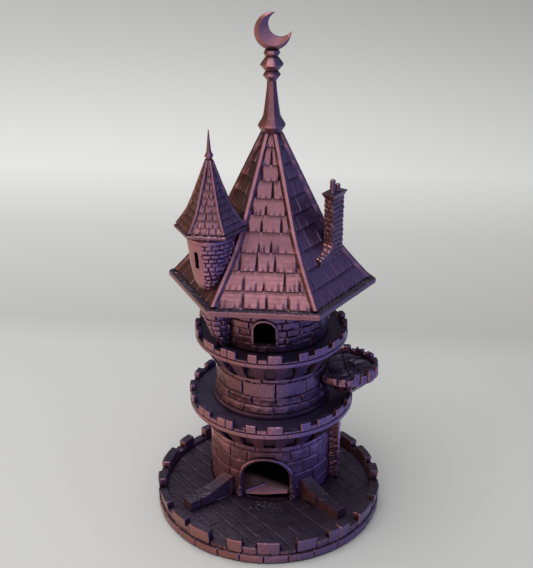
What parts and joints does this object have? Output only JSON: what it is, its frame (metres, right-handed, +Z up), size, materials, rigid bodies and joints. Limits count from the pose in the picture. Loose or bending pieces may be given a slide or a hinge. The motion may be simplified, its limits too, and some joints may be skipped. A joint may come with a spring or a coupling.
{
  "type": "dice tower",
  "caption": "Castle dice tower: a round stone keep with crenellated galleries, balcony, turret and shingled lift-off roof over hidden baffles, standing in a crenellated dice tray.",
  "frame": {"origin": "centre of the tray's flat underside", "axes": "+Z up along the keep, -Y out of the exit arch towards the player, +X to the right seen from the front"},
  "size_m": [0.17, 0.1761, 0.3644],
  "materials": {
    "silk_tray": "dual-colour silk print, copper on the left, violet on the right, charcoal on top, satin sheen over fine layer lines",
    "silk_keep": "dual-colour silk print, copper to rose to violet around the wall, satin sheen over fine layer lines",
    "silk_plate": "dual-colour silk print, smooth sloping plate with fine layer steps",
    "silk_shingle": "dual-colour silk print, rose in front and violet to the right, satin sheen with streaks up the slope",
    "silk_finial": "dual-colour silk print, smooth facets with satin sheen"
  },
  "bodies": {
    "tray": {"tray_base": "silk_tray", "guide_wall_left": "silk_tray", "guide_wall_right": "silk_tray"},
    "tower": {"tower_lower": "silk_keep", "arch_surround": "silk_keep", "exit_ramp": "silk_plate", "pilaster": "silk_keep", "gallery_lower": "silk_keep", "tower_middle": "silk_keep", "baffle_lower": "silk_plate", "baffle_middle": "silk_plate", "balcony": "silk_keep", "gallery_upper": "silk_keep", "tower_upper": "silk_keep", "window_frame": "silk_keep", "baffle_upper": "silk_plate", "turret_corbel": "silk_keep"},
    "roof": {"roof_shell": "silk_shingle", "turret_body": "silk_keep", "turret_roof": "silk_shingle", "turret_spire": "silk_finial", "chimney_stack": "silk_keep", "chimney_pot_tall": "silk_keep", "chimney_pot_short": "silk_keep"},
    "finial": {"finial_spindle": "silk_finial", "crescent_moon": "silk_finial"}
  },
  "joints": [
    {"name": "tower_lift", "type": "slide", "parent": "tray", "child": "tower", "axis": [0, 0, 1], "range_m": [0, 0.06]},
    {"name": "roof_lift", "type": "slide", "parent": "tower", "child": "roof", "axis": [0, 0, 1], "range_m": [0, 0.08]},
    {"name": "finial_lift", "type": "slide", "parent": "roof", "child": "finial", "axis": [0, 0, 1], "range_m": [0, 0.012]}
  ]
}
